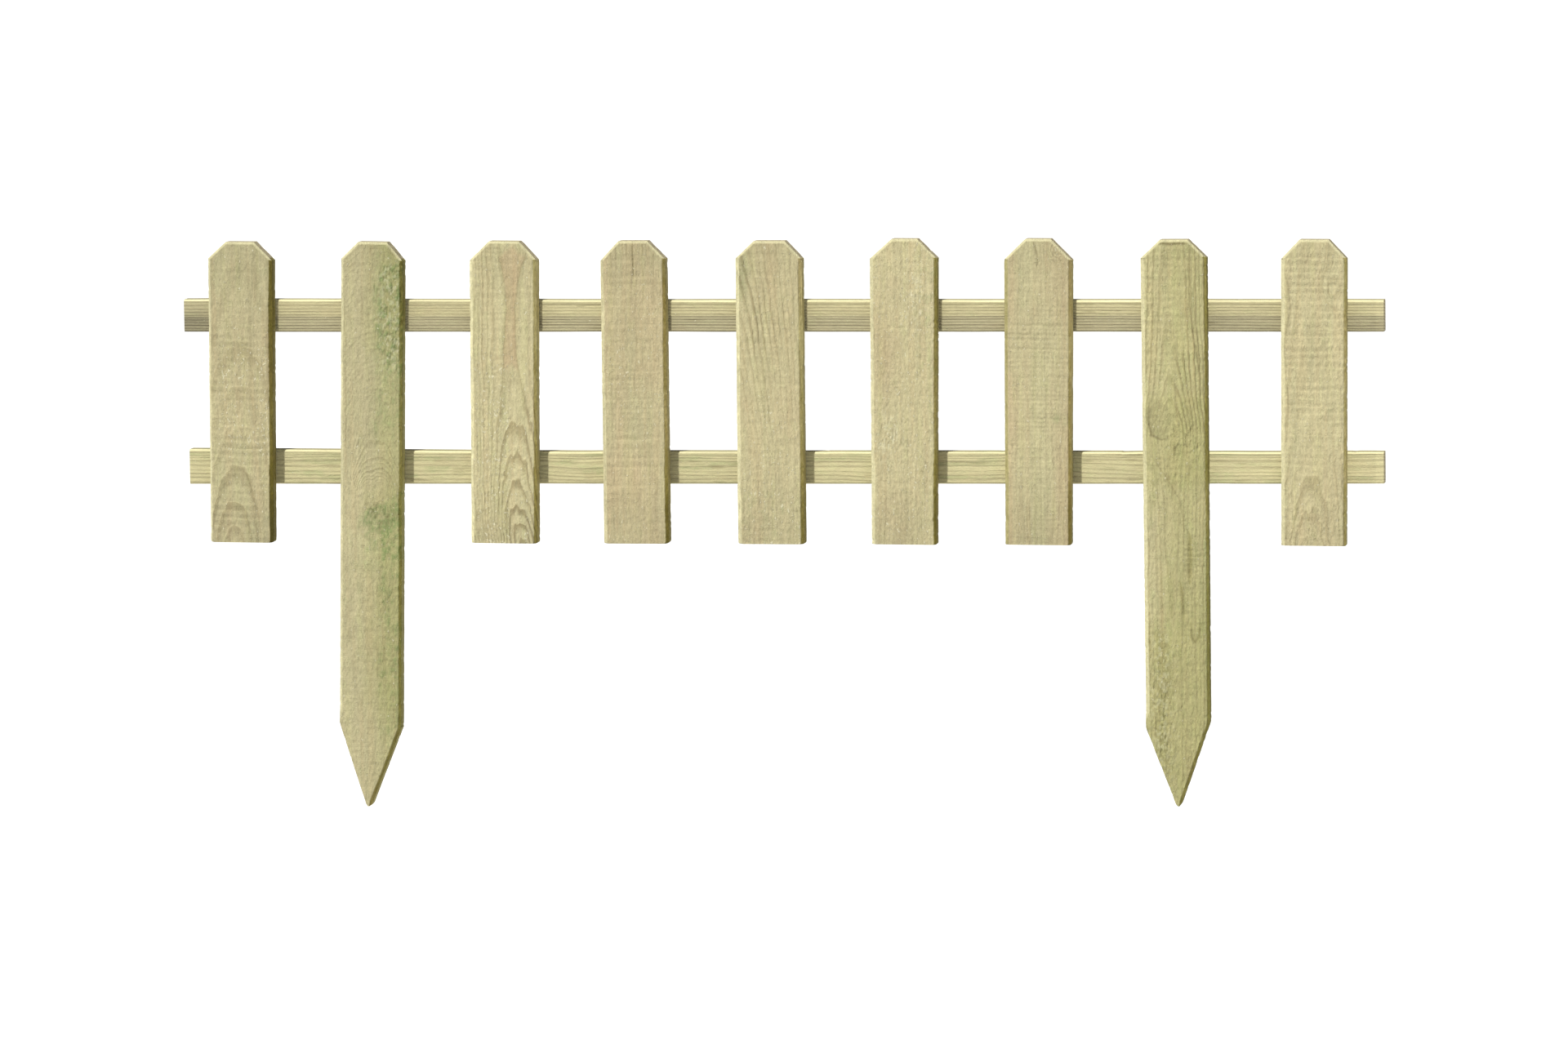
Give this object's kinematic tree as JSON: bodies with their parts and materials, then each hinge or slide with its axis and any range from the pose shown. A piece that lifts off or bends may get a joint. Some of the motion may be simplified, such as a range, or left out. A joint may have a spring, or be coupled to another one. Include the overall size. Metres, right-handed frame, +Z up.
{
  "type": "garden edging fence panel",
  "caption": "Low wooden border fence panel: upright boards with clipped heads on two rails, with two long pointed stakes that push into the ground.",
  "frame": {"origin": "on the centre line of the left stake's flat front face, at ground level, which is the level of the short boards' feet", "axes": "+X along the panel from the left stake to the right stake, +Y from the boards' front faces towards the rails at the back, +Z up"},
  "size_m": [1.1051, 0.036, 0.5204],
  "materials": {
    "picket_wood": "rough sawn, pressure treated, pale green-yellow softwood",
    "rail_wood": "rough sawn, pressure treated, straight-grained pale softwood"
  },
  "bodies": {
    "root": {"picket_1": "picket_wood", "stake_left": "picket_wood", "picket_3": "picket_wood", "picket_4": "picket_wood", "picket_5": "picket_wood", "picket_6": "picket_wood", "picket_7": "picket_wood", "stake_right": "picket_wood", "picket_9": "picket_wood", "top_rail": "rail_wood", "bottom_rail": "rail_wood"}
  },
  "joints": []
}
